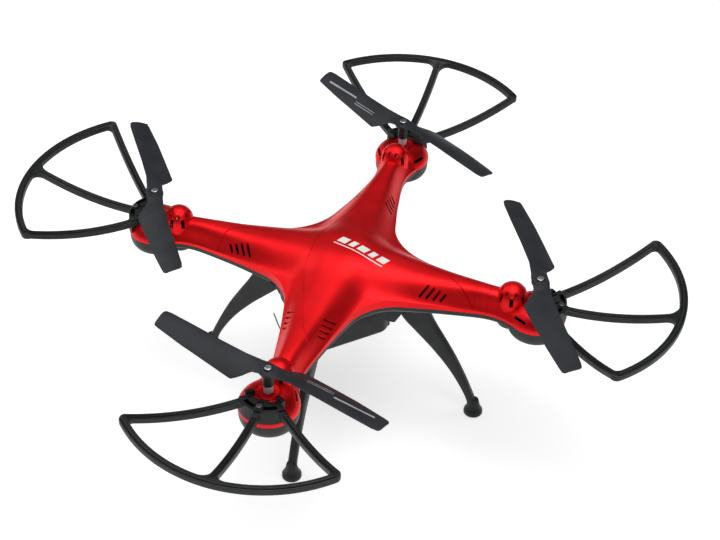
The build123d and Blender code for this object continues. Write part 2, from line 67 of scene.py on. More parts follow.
def make_antenna():
    """The thin receiver wire that leaves the back of the pan and hangs across the battery box."""
    route = [
        (13.0, -31.3, 66.0), (12.5, -34.0, 65.2), (10.5, -38.0, 61.5), (5.5, -38.5, 56.2),
        (-1.1, -36.9, 52.0), (-9.0, -35.0, 48.5), (-16.5, -33.2, 46.2), (-24.0, -31.5, 44.5),
    ]
    data = bpy.data.curves.new("antenna", "CURVE")
    data.dimensions = "3D"
    spline = data.splines.new("NURBS")
    spline.points.add(len(route) - 1)
    for point, place in zip(spline.points, route):
        point.co = (*(value * MM for value in place), 1)
    spline.order_u = 3
    spline.use_endpoint_u = True
    spline.resolution_u = 12
    data.bevel_depth = 0.45 * MM
    data.bevel_resolution = 4
    data.use_fill_caps = True
    wire = bpy.data.objects.new("antenna", data)
    bpy.context.scene.collection.objects.link(wire)
    finish_piece(wire, "antenna_insulation", "root", ["antenna_wire"])


def area_light(name, place, size, power, target=(0, 0, 0.08)):
    """A square soft light aimed at the drone."""
    data = bpy.data.lights.new(name, "AREA")
    data.shape = "SQUARE"
    data.size = size
    data.energy = power
    light = bpy.data.objects.new(name, data)
    light.location = place
    light.rotation_euler = (Vector(target) - Vector(place)).to_track_quat("-Z", "Y").to_euler()
    bpy.context.scene.collection.objects.link(light)


def make_studio():
    """A white sweep under a bright ceiling, dim near the horizon, with two soft lights."""
    world = bpy.data.worlds.new("studio")
    world.use_nodes = True
    bpy.context.scene.world = world
    tree = world.node_tree
    background = tree.nodes["Background"]
    place = tree.nodes.new("ShaderNodeTexCoord")
    split = tree.nodes.new("ShaderNodeSeparateXYZ")
    ramp = tree.nodes.new("ShaderNodeValToRGB")
    tree.links.new(place.outputs["Generated"], split.inputs[0])
    tree.links.new(split.outputs["Z"], ramp.inputs["Fac"])
    tree.links.new(ramp.outputs["Color"], background.inputs["Color"])
    stops = ((0.0, 0.10), (0.12, 0.05), (0.45, 0.07), (0.74, 0.24), (0.95, 0.62))
    while len(ramp.color_ramp.elements) < len(stops):
        ramp.color_ramp.elements.new(0.5)
    for element, (height, grey) in zip(ramp.color_ramp.elements, stops):
        element.position = height
        element.color = (grey, grey, grey, 1)
    background.inputs["Strength"].default_value = 1.0
    area_light("overhead", (0.1, 0.1, 1.6), 1.3, 16)
    area_light("left_fill", (-1.0, -0.7, 1.0), 0.9, 5)
    floor = mesh_object("floor", [(-9e3, -9e3, -0.2), (9e3, -9e3, -0.2), (9e3, 9e3, -0.2), (-9e3, 9e3, -0.2)],
                        [(0, 1, 2, 3)])
    floor.data.materials.append(MATERIALS["floor"])
    bpy.context.scene.view_settings.view_transform = "Standard"


# ---- materials ----
def plain_material(name, colour, roughness, metallic=0.0, coat=0.0, sheen=0.0, transmission=0.0):
    """A Principled material whose constant values sit on the shader itself."""
    made = bpy.data.materials.new(name)
    made.use_nodes = True
    shader = made.node_tree.nodes["Principled BSDF"]
    shader.inputs["Base Color"].default_value = (*colour, 1)
    shader.inputs["Roughness"].default_value = roughness
    shader.inputs["Metallic"].default_value = metallic
    shader.inputs["Coat Weight"].default_value = coat
    shader.inputs["Coat Roughness"].default_value = 0.12
    shader.inputs["Sheen Weight"].default_value = sheen
    shader.inputs["Transmission Weight"].default_value = transmission
    return made


def texture(tree, scale, detail=3.0, kind="ShaderNodeTexNoise"):
    """A noise or cell texture laid out in the piece's own space."""
    place = tree.nodes.get("place") or tree.nodes.new("ShaderNodeTexCoord")
    place.name = "place"
    found = tree.nodes.new(kind)
    found.inputs["Scale"].default_value = scale
    if kind == "ShaderNodeTexNoise":
        found.inputs["Detail"].default_value = detail
    tree.links.new(place.outputs["Object"], found.inputs["Vector"])
    return found


def vary_colour(material, dark, light, scale):
    """Slow changes of colour over the surface."""
    tree = material.node_tree
    noise = texture(tree, scale)
    ramp = tree.nodes.new("ShaderNodeValToRGB")
    ramp.color_ramp.elements[0].position = 0.3
    ramp.color_ramp.elements[1].position = 0.7
    ramp.color_ramp.elements[0].color = (*dark, 1)
    ramp.color_ramp.elements[1].color = (*light, 1)
    tree.links.new(noise.outputs["Fac"], ramp.inputs["Fac"])
    tree.links.new(ramp.outputs["Color"], tree.nodes["Principled BSDF"].inputs["Base Color"])


def vary_roughness(material, low, high, scale):
    """Handling marks and mould texture, as changes of gloss."""
    tree = material.node_tree
    noise = texture(tree, scale, 5.0)
    spread = tree.nodes.new("ShaderNodeMapRange")
    spread.inputs["From Min"].default_value = 0.3
    spread.inputs["From Max"].default_value = 0.7
    spread.inputs["To Min"].default_value = low
    spread.inputs["To Max"].default_value = high
    tree.links.new(noise.outputs["Fac"], spread.inputs["Value"])
    tree.links.new(spread.outputs["Result"], tree.nodes["Principled BSDF"].inputs["Roughness"])


def add_grain(material, scale, strength, height_mm, kind="ShaderNodeTexNoise"):
    """A fine bump: spark texture on plastic, or flakes under paint."""
    tree = material.node_tree
    grain = texture(tree, scale, 2.0, kind)
    bump = tree.nodes.new("ShaderNodeBump")
    bump.inputs["Strength"].default_value = strength
    bump.inputs["Distance"].default_value = height_mm * MM
    output = "Distance" if kind == "ShaderNodeTexVoronoi" else "Fac"
    tree.links.new(grain.outputs[output], bump.inputs["Height"])
    tree.links.new(bump.outputs["Normal"], tree.nodes["Principled BSDF"].inputs["Normal"])


def moulded(name, colour, roughness, grain=900, strength=0.25, lift=1.25, shine=0.5):
    """Moulded plastic: slight colour drift, uneven gloss and a fine grain."""
    made = plain_material(name, colour, roughness)
    made.node_tree.nodes["Principled BSDF"].inputs["Specular IOR Level"].default_value = shine
    vary_colour(made, [value / lift for value in colour], [value * lift for value in colour], 60)
    vary_roughness(made, roughness - 0.07, roughness + 0.09, 140)
    add_grain(made, grain, strength, 0.05)
    return made


def turned_metal(name, colour, roughness):
    """Bare metal with fine uneven gloss."""
    made = plain_material(name, colour, roughness, metallic=1.0)
    vary_roughness(made, roughness - 0.08, roughness + 0.12, 400)
    add_grain(made, 1800, 0.15, 0.02)
    return made


def red_paint():
    """Satin metallic red with flakes and a thin clear coat."""
    made = plain_material("red_paint", (0.8, 0.008, 0.012), 0.48, metallic=0.88, coat=0.04)
    vary_colour(made, (0.76, 0.006, 0.009), (0.9, 0.010, 0.014), 35)
    vary_roughness(made, 0.44, 0.52, 90)
    add_grain(made, 3200, 0.12, 0.03, "ShaderNodeTexVoronoi")
    return made


def make_materials():
    """Every finish, under the record's slot name, with a few for small details."""
    made = {
        "red_paint": red_paint(),
        "slate_plastic": moulded("slate_plastic", (0.022, 0.027, 0.028), 0.42, shine=0.28),
        "black_plastic": moulded("black_plastic", (0.0105, 0.012, 0.012), 0.45, shine=0.32),
        "blade_plastic": moulded("blade_plastic", (0.021, 0.0225, 0.027), 0.45, grain=700, strength=0.2,
                                 shine=0.28),
        "white_plastic": moulded("white_plastic", (0.72, 0.71, 0.66), 0.35),
        "steel": turned_metal("steel", (0.62, 0.62, 0.63), 0.24),
        "dark_steel": turned_metal("dark_steel", (0.16, 0.16, 0.17), 0.34),
        "pale_metal": moulded("pale_metal", (0.66, 0.65, 0.62), 0.3),
        "motor_can": turned_metal("motor_can", (0.55, 0.55, 0.57), 0.3),
        "brass": turned_metal("brass", (0.75, 0.55, 0.24), 0.28),
        "board_green": moulded("board_green", (0.010, 0.085, 0.035), 0.3, grain=300),
        "chip_black": moulded("chip_black", (0.012, 0.012, 0.013), 0.45),
        "battery_wrap": moulded("battery_wrap", (0.05, 0.11, 0.30), 0.3, grain=250, strength=0.5),
        "wire_insulation": moulded("wire_insulation", (0.50, 0.02, 0.015), 0.4),
        "antenna_insulation": moulded("antenna_insulation", (0.42, 0.42, 0.40), 0.42),
        "print_white": moulded("print_white", (0.86, 0.84, 0.82), 0.45, lift=1.04),
        "print_grey": moulded("print_grey", (0.36, 0.37, 0.39), 0.45),
    }
    lens = plain_material("clear_lens", (0.9, 0.95, 1.0), 0.08, transmission=0.85)
    add_grain(lens, 500, 0.1, 0.02)
    made["clear_lens"] = lens
    floor = plain_material("floor", (0.6, 0.6, 0.6), 0.95)
    add_grain(floor, 30, 0.02, 0.5)
    glow = floor.node_tree.nodes["Principled BSDF"]
    glow.inputs["Emission Color"].default_value = (1, 1, 1, 1)
    glow.inputs["Emission Strength"].default_value = 0.62
    made["floor"] = floor
    return made


# ---- mesh helpers ----
def mesh_object(name, points, faces):
    """A mesh object from points in millimetres."""
    mesh = bpy.data.meshes.new(name)
    mesh.from_pydata([[float(value) * MM for value in point] for point in points], [], faces)
    mesh.update()
    made = bpy.data.objects.new(name, mesh)
    bpy.context.scene.collection.objects.link(made)
    return made


def edit(obj, change):
    """Runs a bmesh change on an object's mesh."""
    work = bmesh.new()
    work.from_mesh(obj.data)
    change(work)
    work.to_mesh(obj.data)
    work.free()
    obj.data.update()
    return obj


def tidy(obj, distance=0.002):
    """Welds doubled points and turns the faces outward."""
    def change(work):
        bmesh.ops.remove_doubles(work, verts=work.verts, dist=distance * MM)
        bmesh.ops.dissolve_degenerate(work, edges=work.edges, dist=distance * MM)
        bmesh.ops.recalc_face_normals(work, faces=work.faces)
    return edit(obj, change)


def skin(name, rings, closed=False):
    """A solid skinned over rings of points; closed joins the last ring to the first."""
    rings = [np.asarray(ring, float) for ring in rings]
    size = len(rings[0])
    count = len(rings)
    faces = []
    for row in range(count if closed else count - 1):
        here, there = row * size, (row + 1) % count * size
        for spot in range(size):
            after = (spot + 1) % size
            faces.append((here + spot, here + after, there + after, there + spot))
    if not closed:
        faces.append(tuple(range(size))[::-1])
        faces.append(tuple(range((count - 1) * size, count * size)))
    return tidy(mesh_object(name, np.concatenate(rings), faces))


def lathe(name, outline, x=0.0, y=0.0, steps=96):
    """A closed (radius, z) outline turned about an upright axis."""
    rings = []
    for step in range(steps):
        angle = 2 * math.pi * step / steps
        rings.append([(x + r * math.cos(angle), y + r * math.sin(angle), z) for r, z in outline])
    return skin(name, rings, closed=True)


def rounded(points, radii, steps=6):
    """A 2D outline with each corner turned into an arc of its own radius."""
    out = []
    count = len(points)
    for index, (corner, radius) in enumerate(zip(points, radii)):
        corner = np.array(corner, float)
        if radius <= 0:
            out.append(tuple(corner))
            continue
        before = np.array(points[index - 1], float) - corner
        after = np.array(points[(index + 1) % count], float) - corner
        size_before, size_after = np.linalg.norm(before), np.linalg.norm(after)
        before, after = before / size_before, after / size_after
        half = 0.5 * math.acos(float(np.clip(before @ after, -1, 1)))
        reach = min(radius / math.tan(half), 0.49 * size_before, 0.49 * size_after)
        start, end = corner + before * reach, corner + after * reach
        for step in range(steps + 1):
            share = step / steps
            out.append(tuple((1 - share) ** 2 * start + 2 * share * (1 - share) * corner + share**2 * end))
    return out


def prism(name, outline, low, high):
    """An upright solid from a closed (x, y) outline."""
    return skin(name, [[(x, y, low) for x, y in outline], [(x, y, high) for x, y in outline]])


def box(name, x, y, z, radius=0.0):
    """A box given by its limits, with its upright corners rounded."""
    corners = [(x[0], y[0]), (x[1], y[0]), (x[1], y[1]), (x[0], y[1])]
    return prism(name, rounded(corners, [radius] * 4), *z)


def smooth_line(points, count):
    """Points along a smooth curve through the given ones."""
    points = np.asarray(points, float)
    padded = np.vstack([2 * points[0] - points[1], points, 2 * points[-1] - points[-2]])
    out = []
    for place in np.linspace(0, len(points) - 1, count):
        index = min(int(place), len(points) - 2)
        t = place - index
        a, b, c, d = padded[index:index + 4]
        out.append(0.5 * (2 * b + (c - a) * t + (2 * a - 5 * b + 4 * c - d) * t**2
                          + (3 * b - a - 3 * c + d) * t**3))
    return np.array(out)


def combine(target, others, operation):
    """Unites, subtracts or intersects solids with the target, and removes them."""
    for other in others:
        cut = target.modifiers.new("cut", "BOOLEAN")
        cut.operation = operation
        cut.solver = "MANIFOLD" if target.name.startswith("top_shell") else "EXACT"
        cut.object = other
        bpy.context.view_layer.update()
        solid = target.evaluated_get(bpy.context.evaluated_depsgraph_get())
        made = bpy.data.meshes.new_from_object(solid)
        target.modifiers.clear()
        target.data = made
        bpy.data.objects.remove(other)
    return target


def join(target, others):
    """Adds other meshes to the target without merging them."""
    work = bmesh.new()
    for obj in [target, *others]:
        work.from_mesh(obj.data)
    work.to_mesh(target.data)
    work.free()
    for other in others:
        bpy.data.objects.remove(other)
    return target


def turn(obj, degrees, about=(0, 0)):
    """Turns a mesh about an upright axis."""
    shift = Matrix.Translation((about[0] * MM, about[1] * MM, 0))
    spin = Matrix.Rotation(math.radians(degrees), 4, "Z")
    obj.data.transform(shift @ spin @ shift.inverted())
    return obj


def copies_on_arms(maker):
    """One solid on each arm, from a maker that builds it on the +X arm."""
    return [turn(maker(), angle) for angle in ARMS.values()]


def shade(obj, angle=32.0, bevel=0.0):
    """Smooth shading with crisp edges, and an optional small edge rounding."""
    if bevel:
        soften = obj.modifiers.new("edges", "BEVEL")
        soften.width = bevel * MM
        soften.segments = 2
        soften.limit_method = "ANGLE"
        soften.angle_limit = math.radians(angle)
        soften.harden_normals = False
    obj.data.shade_smooth()
    obj.data.set_sharp_from_angle(angle=math.radians(angle))
    weigh = obj.modifiers.new("normals", "WEIGHTED_NORMAL")
    weigh.keep_sharp = True
    weigh.weight = 60
    return obj


def finish_piece(obj, finish, body, nodes=()):
    """Gives a finished piece its material and its body, and hides the CAD nodes that it stands for."""
    obj.data.materials.clear()
    obj.data.materials.append(MATERIALS[finish])
    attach(obj, body)
    if nodes:
        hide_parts(*nodes)
    return obj


def washer(inner, outer, low, high):
    """The outline of a ring that lathe turns into a tube, bush or shelf."""
    return [(inner, low), (outer, low), (outer, high), (inner, high)]


def gather(objects):
    """Several separate solids as one mesh object."""
    return join(objects[0], objects[1:])


def gather_union(objects):
    """Several overlapping solids as one."""
    return combine(objects[0], objects[1:], "UNION")


MATERIALS = {}


# ---- the body's curved form ----
REACHES = (0, 20, 37, 59, 83, 90, 95, 100, 104)
HALF_WIDTHS = (25.2, 24.2, 19.5, 13.9, 9.3, 9.0, 9.8, 11.8, 13.9)
RISES = (13.2, 15.9, 14.3, 12.9, 12.4, 12.0, 11.2, 9.2, 6.8)
DEPTHS = (5.5, 5.5, 5.5, 5.2, 5.0, 5.0, 5.0, 5.0, 5.0)
LIP = 0.8


def eased(reach, values, spread=5.0):
    """A value along the arm, with the corners of its table rounded off."""
    steps = np.linspace(-spread, spread, 9)
    return np.mean([np.interp(np.abs(reach + step), REACHES, values) for step in steps], axis=0)


def blend_max(first, second, near):
    """The larger of two, rounded over where they are nearly equal."""
    close = np.maximum(near - np.abs(first - second), 0)
    return np.maximum(first, second) + close**2 / (4 * near)


def inside_by(x, y):
    """How far a point lies inside the body's outline; the arms run along both axes."""
    return blend_max(eased(x, HALF_WIDTHS) - np.abs(y), eased(y, HALF_WIDTHS) - np.abs(x), 17.0)


def arm_height(along, across):
    """A crown, a steep flank and a flared lip across one pair of arms."""
    share = np.abs(across) / eased(along, HALF_WIDTHS)
    held = np.minimum(share, 1)
    power = np.interp(np.abs(along), (5, 55), (1.45, 2.0))
    fall = 0.68 * (0.5 + 0.5 * np.cos(np.pi * held**power)) + 0.32 * (1 - held**2.4)
    return LIP + (eased(along, RISES) - LIP) * fall - 6 * np.maximum(share - 1, 0)


def crown(x, y):
    """Height of the upper shell's surface."""
    arms = blend_max(arm_height(x, y), arm_height(y, x), 22.0)
    rim = LIP + 7.0 * (1 - np.exp(-np.maximum(inside_by(x, y), 0) / 5))
    return SEAM_Z + blend_max(arms, rim, 2.5)


def keel(x, y):
    """Height of the lower shell's surface: an upright rim, rolling under to a flat floor."""
    rolled = 1 - (1 - np.clip((inside_by(x, y) - 0.3) / 4.0, 0, 1)) ** 3
    return SEAM_Z - 2.6 - (eased(np.hypot(x, y) * 0.9, DEPTHS) - 2.6) * rolled


def edge_of(x, inset):
    """Half the body's width across the arm at one reach, or the diagonal's point near the middle."""
    low, high = 0.0, float(x)
    if inside_by(x, high) >= inset:
        return high
    for _ in range(40):
        middle = (low + high) / 2
        low, high = (middle, high) if inside_by(x, middle) > inset else (low, middle)
    return low


def star(name, height, flat_z, inset, rows=78, columns=35, end=104.0):
    """The four-armed solid between a height field and a level face, its outline moved in by the inset."""
    low, high = 5.0, 60.0
    for _ in range(40):
        corner = (low + high) / 2
        low, high = (corner, high) if inside_by(corner, corner) > inset else (low, corner)
    inner = np.linspace(0, corner, 20)
    outer = corner + (end - corner) * np.linspace(0, 1, rows)[1:] ** 1.25
    spread = np.sin(np.linspace(-math.pi / 2, math.pi / 2, columns))
    field, level = [], []
    for x in (*inner, *outer):
        y = spread * (x if x <= corner else edge_of(x, inset))
        field.append(np.column_stack([np.full(columns, x), y, height(x, y)]))
        level.append(np.column_stack([np.full(columns, x), y, np.full(columns, flat_z)]))
    count = len(field)
    points = np.concatenate(field + level)
    faces = []
    for row in range(count - 1):
        for column in range(columns - 1):
            a = row * columns + column
            quad = (a, a + columns, a + columns + 1, a + 1)
            faces += [quad, tuple(spot + count * columns for spot in quad[::-1])]
        if row >= 19:
            for a, b in ((row * columns, (row + 1) * columns),
                         ((row + 2) * columns - 1, (row + 1) * columns - 1)):
                faces.append((a, a + count * columns, b + count * columns, b))
    last = (count - 1) * columns
    for column in range(columns - 1):
        a = last + column
        faces.append((a, a + count * columns, a + 1 + count * columns, a + 1))
    turned, every = [], []
    for quarter, angle in enumerate(ARMS.values()):
        c, s = math.cos(math.radians(angle)), math.sin(math.radians(angle))
        turned.append(points @ np.array([[c, s, 0], [-s, c, 0], [0, 0, 1]]))
        every += [tuple(spot + quarter * len(points) for spot in face) for face in faces]
    return tidy(mesh_object(name, np.concatenate(turned), every), 0.004)


def arc(centre, radius, start, end, steps):
    """Points of a circular arc in a flat section, angles in degrees."""
    angles = np.radians(np.linspace(start, end, steps))
    return [(centre[0] + radius * math.cos(a), centre[1] + radius * math.sin(a)) for a in angles]


def pod_dome(inset):
    """The round upper pod at an arm's end, with its stepped boss ring."""
    side = smooth_line([(16.2, 86.3), (15.6, 88.2), (14.1, 90.5), (11.8, 92.6), (9.0, 93.9), (6.7, 94.5)], 18)
    outline = [(0, SEAM_Z - (1 if inset else 0)), (16.2 - inset, SEAM_Z - (1 if inset else 0))]
    outline += [(r - inset, z - inset * 0.8) for r, z in side]
    if not inset:
        outline += [(6.35, 94.1), (6.15, 94.2), (6.0, 94.9), (5.6, 95.25), (3.6, 95.25), (3.2, 94.9)]
    outline += [(0, 94.9 - inset)]
    return lathe("pod", outline, REACH)


def motor_ball(inset):
    """The ball-shaped cover over a motor."""
    radius = 8.2 - inset
    outline = [(0, SEAM_Z - (0.5 if inset else 0)), (radius, SEAM_Z - (0.5 if inset else 0))]
    outline += arc((0, 95), radius, 0, 90, 20)
    return lathe("ball", outline, HUMP_REACH)


def slot_block(reach, across, z, length, width, depth, heading=0.0, tilt=0.0):
    """A cutter with rounded ends, its length across the arm, turned and tipped in place."""
    half = width / 2
    outline = rounded([(-half, -length / 2), (half, -length / 2), (half, length / 2), (-half, length / 2)],
                      [half * 0.9] * 4, 4)
    cutter = prism("slot", outline, -depth / 2, depth / 2)
    place = Matrix.Translation((reach * MM, across * MM, z * MM))
    turns = Matrix.Rotation(math.radians(heading), 4, "Z") @ Matrix.Rotation(math.radians(tilt), 4, "Y")
    cutter.data.transform(place @ turns)
    return cutter


def vents():
    """Four slanted cooling slots down each flank of an arm, shorter towards the motor."""
    cutters = []
    for side in (-1, 1):
        for index in range(4):
            low = np.array([49.2 + 3.8 * index, side * (13.7 - 0.6 * index)])
            high = np.array([53.2 + 3.4 * index, side * (8.0 + 0.15 * index)])
            ahead = (high - low) / np.linalg.norm(high - low) * 0.6
            across = np.array([-ahead[1], ahead[0]])
            corners = [low - across, low + across, high + across, high - across]
            cutters.append(prism("vent", rounded(corners, [0.55] * 4, 4), 87.3, 100))
    return cutters


def ball_slots():
    """Upright oval slots round the motor ball, and small notches round its crown."""
    cutters = []
    for side in (-1, 1):
        for angle in (30, 82, 130):
            heading = math.radians(side * angle)
            x, y = HUMP_REACH + 8.2 * math.cos(heading), 8.2 * math.sin(heading)
            cutter = slot_block(0, 0, 0, 6.6, 2.1, 4.0, tilt=90)
            cutter.data.transform(Matrix.Rotation(math.radians(90), 4, "X"))
            cutter.data.transform(Matrix.Rotation(heading, 4, "Z"))
            cutter.data.transform(Matrix.Translation((x * MM, y * MM, 96.8 * MM)))
            cutters.append(cutter)
    for angle in (-160, -110, -60, 0, 60, 110, 160):
        heading = math.radians(angle)
        x, y = HUMP_REACH + 5.9 * math.cos(heading), 5.9 * math.sin(heading)
        cutters.append(lathe("notch", [(0, 99.0), (1.05, 99.0), (1.05, 104), (0, 104)], x, y, 12))
    return cutters


def pod_slots():
    """One curved slot low on each side of a pod."""
    cutters = []
    for side in (-1, 1):
        angle = math.radians(side * 117)
        x, y = REACH + 14.1 * math.cos(angle), 14.1 * math.sin(angle)
        cutters.append(slot_block(x, y, 90.3, 7.6, 1.7, 4.6, math.degrees(angle), 48))
    return cutters


def groove(route, angle, width=0.4, depth=0.8):
    """A thin panel line cut along the upper shell; the route is on one arm."""
    line = smooth_line(route, 5 * len(route))
    step = np.gradient(line, axis=0)
    side = np.column_stack([-step[:, 1], step[:, 0]])
    side *= width / 2 / np.linalg.norm(side, axis=1)[:, None]
    rings = []
    for (x, y), (dx, dy), z in zip(line, side, crown(line[:, 0], line[:, 1])):
        rings.append([(x - dx, y - dy, z - depth), (x + dx, y + dy, z - depth),
                      (x + dx, y + dy, z + 0.6), (x - dx, y - dy, z + 0.6)])
    return turn(skin("groove", rings), angle)


def panel_lines():
    """The panel lines on three of the arms."""
    rear_left = [(51.6, -2.8), (57.1, -2.2), (62.2, -0.3), (65.8, 2.3), (68.2, 6.4), (70.4, 11.5)]
    front_right = [(61.2, 0.9), (70, -4.4), (78.8, -9.4)]
    branch = [(78.6, -9.2), (78.8, -5.5), (78.8, -2.4)]
    cross = [(86, -9.3), (86.2, -5), (86, -0.8)]
    rear_right = [(-43.8, -4.2), (-35.7, -6.7), (-24, -11.3), (-8.1, -14.6), (7, -14.9), (20.9, -13.8),
                  (53, -3.5), (65.8, 2.1), (72, 6.2)]
    lines = [groove(rear_left, 225), groove(front_right, 45), groove(branch, 45), groove(cross, 45)]
    return lines + [groove(rear_right, 315)]


def make_top_shell():
    """The red upper shell."""
    shell = star("top_shell_skin", crown, SEAM_Z, 0.0)
    combine(shell, [gather(copies_on_arms(lambda: pod_dome(0)))], "UNION")
    combine(shell, [gather(copies_on_arms(lambda: motor_ball(0)))], "UNION")
    hollow = star("hollow", lambda x, y: np.maximum(crown(x, y) - 1.6, SEAM_Z + 0.05),
                  SEAM_Z - 0.5, WALL, 46, 23)
    combine(shell, [hollow], "DIFFERENCE")
    combine(shell, [gather(copies_on_arms(lambda: pod_dome(WALL)))], "DIFFERENCE")
    combine(shell, [gather(copies_on_arms(lambda: motor_ball(WALL)))], "DIFFERENCE")
    posts = copies_on_arms(lambda: lathe("post", washer(0.8, 2.3, 81.6, 96.8), 74, 0, 24))
    seats = copies_on_arms(lambda: lathe("seat", washer(1.5, 4.0, 89, 94.4), REACH, 0, 32))
    combine(shell, [gather(posts + seats)], "UNION")
    bores = copies_on_arms(lambda: lathe("bore", [(0, 88.9), (2.2, 88.9), (2.2, 97), (0, 97)], REACH, 0, 48))
    combine(shell, [gather(bores)], "DIFFERENCE")
    for maker in (vents, ball_slots, pod_slots):
        combine(shell, [gather(copies_on_arms(lambda: gather(maker())))], "DIFFERENCE")
    combine(shell, panel_lines(), "DIFFERENCE")
    return finish_piece(shade(shell, 34), "red_paint", "root", ["top_shell"])


# ---- lower shell ----
def pan_plan(inset, z):
    """One level outline of the belly pan."""
    x, low, high = 20.5 - inset, -31.5 + inset, 25.5 - inset
    corners = [(-x, low), (x, low), (x, high), (-x, high)]
    return [(*point, z) for point in rounded(corners, [9.0 - inset] * 4, 10)]


def belly(inset, top):
    """The belly pan as a solid, with a rolled lower edge."""
    rings = [pan_plan(inset + 3 - 3 * math.sin(turn), 65 - 3 * math.cos(turn) + inset)
             for turn in np.radians(np.linspace(0, 90, 7))]
    return skin("belly", [*rings, pan_plan(inset, top)])


def pod_dish(inset):
    """The dish under a pod."""
    top = SEAM_Z - 0.25 if not inset else SEAM_Z + 1
    side = [(15.9, 83), (15.85, 80.5), (15.4, 78.2), (14.4, 76.3), (12.8, 75.2), (11.0, 74.8)]
    outline = [(0, top), (15.9 - inset, top)] + [(r - inset, z + inset) for r, z in smooth_line(side, 16)]
    return lathe("dish", outline + [(0, 74.8 + inset)], REACH)


def pinion_bump(inset):
    """The bump under a motor's pinion."""
    top = SEAM_Z - 0.25 if not inset else SEAM_Z + 1
    radius = 8.2 - inset
    outline = [(0, top), (radius, top)] + arc((radius - 3.4, 79.4 + inset), 3.4, 0, -90, 8)
    return lathe("bump", outline + [(0, 76 + inset)], HUMP_REACH, 0, 72)


def leg_gusset():
    """The sloped block that a leg's root sits against."""
    side = [(18, 62), (33.6, 62), (34.6, 62.6), (43.0, 79.0), (43.2, 81), (18, 81)]
    return skin("gusset", [[(x, y, z) for x, z in side] for y in (-7.5, 7.5)])


def make_bottom_shell():
    """The slate lower shell with its belly pan."""
    shell = star("bottom_shell_skin", keel, SEAM_Z - 0.25, 0.3, 60, 31)
    for maker in (pod_dish, pinion_bump):
        combine(shell, [gather(copies_on_arms(lambda: maker(0)))], "UNION")
    combine(shell, [belly(0, 81), gather_union(copies_on_arms(leg_gusset))], "UNION")
    hollow = star("hollow", lambda x, y: keel(x, y) + WALL, SEAM_Z + 0.5, 1.5, 40, 21)
    combine(shell, [hollow], "DIFFERENCE")
    for maker in (pod_dish, pinion_bump):
        combine(shell, [gather(copies_on_arms(lambda: maker(WALL)))], "DIFFERENCE")
    cutters = [belly(WALL, 83), lathe("lead_hole", [(0, 61), (3, 61), (3, 65), (0, 65)], 0, -20, 32)]
    cutters.append(box("switch_slot", (-10.6, -5.4), (-41, -29), (81.3, 83.1), 0.4))
    combine(shell, cutters, "DIFFERENCE")
    seats = copies_on_arms(lambda: lathe("seat", washer(1.04, 3.6, 74.9, 77.4), REACH, 0, 32))
    cups = copies_on_arms(lambda: lathe("cup", washer(3.6, 5.2, 83, 88), HUMP_REACH, 0, 40))
    shelves = copies_on_arms(lambda: lathe("shelf", washer(2.4, 7.2, 80.9, 83.2), HUMP_REACH))
    posts = [lathe("post", [(0.8, 62.5), (2.2, 62.5), (2.2, 77.8), (0.8, 77.8)], x, y, 24)
             for x in (-14, 14) for y in (-14, 14)]
    join(shell, seats + cups + shelves + posts)
    return finish_piece(shade(shell, 34), "slate_plastic", "root", ["bottom_shell"])


# ---- propellers ----
PROPELLER_REST = {"front_right": 162.9, "front_left": 196.9, "rear_left": 167.9, "rear_right": 209.8}
CLOCKWISE = ("front_left", "rear_right")
LEAD_EDGE = [(2.5, 4.6), (6, 3.7), (15, 2.7), (31, 3.1), (50, 4.1), (65, 4.7), (68.3, 4.3), (69.2, 3.0)]
TRAIL_EDGE = [(2.5, -4.8), (6.4, -5.2), (8.0, -6.4), (9.8, -8.4), (12.6, -10.9), (14.6, -12.1), (15.5, -12.2),
              (28, -11.0), (48, -9.0), (65, -6.5), (68.3, -5.8), (69.2, -4.4)]
LEAD_HEIGHT = [(2.5, 110.5), (7, 110.9), (13.5, 111.3), (69, 111.0)]
TRAIL_HEIGHT = [(2.5, 110.2), (6, 109.6), (10, 107.4), (14.5, 105.6), (38, 107.3), (69, 108.9)]


def along(table, radius):
    """A value read from a (radius, value) table."""
    return np.interp(radius, *zip(*table))


def blade_faces(radius, share):
    """Where a blade's chord lies at a radius, and its lower and upper faces."""
    lead = np.array([along(LEAD_EDGE, radius), along(LEAD_HEIGHT, radius)])
    trail = np.array([along(TRAIL_EDGE, radius), along(TRAIL_HEIGHT, radius)])
    share = np.atleast_1d(share)
    line = lead + share[:, None] * (trail - lead)
    camber = 0.18 * np.linalg.norm(trail - lead) * share * (1 - share)
    thick = 0.30 + 1.36 * np.sqrt(share) * (1 - share)
    thick = thick * np.where((share <= 0) | (share >= 1), 0.45, 1)
    middle = line[:, 1] + camber - 0.1
    return line[:, 0], middle - thick / 2, middle + thick / 2


def blade_top(radius, y):
    """Height of a blade's upper face."""
    lead, trail = along(LEAD_EDGE, radius), along(TRAIL_EDGE, radius)
    return float(blade_faces(radius, (lead - y) / (lead - trail))[2][0])


def blade():
    """One blade: a thin cambered aerofoil, pitched at the root, with a rounded tip."""
    radii = np.concatenate([np.linspace(1.5, 16, 36), np.linspace(17.5, 64, 32), np.linspace(65, 69.1, 14)])
    share = 0.5 - 0.5 * np.cos(np.linspace(0, math.pi, 15))
    rings = []
    for radius in radii:
        y, low, high = blade_faces(radius, share)
        across = np.full(15, radius)
        over, under = np.column_stack([across, y, high]), np.column_stack([across, y, low])
        rings.append(np.concatenate([over, under[::-1]]))
    return skin("blade", rings)


def set_propeller(piece, arm):
    """Puts a form made on the rotor's axis onto one rotor, at its rest angle and hand."""
    if arm in CLOCKWISE:
        piece.data.transform(Matrix.Scale(-1, 4, (0, 1, 0)))
        piece.data.flip_normals()
    angle = math.radians(ARMS[arm])
    place = Matrix.Translation((REACH * math.cos(angle) * MM, REACH * math.sin(angle) * MM, 0))
    piece.data.transform(place @ Matrix.Rotation(math.radians(PROPELLER_REST[arm]), 4, "Z"))


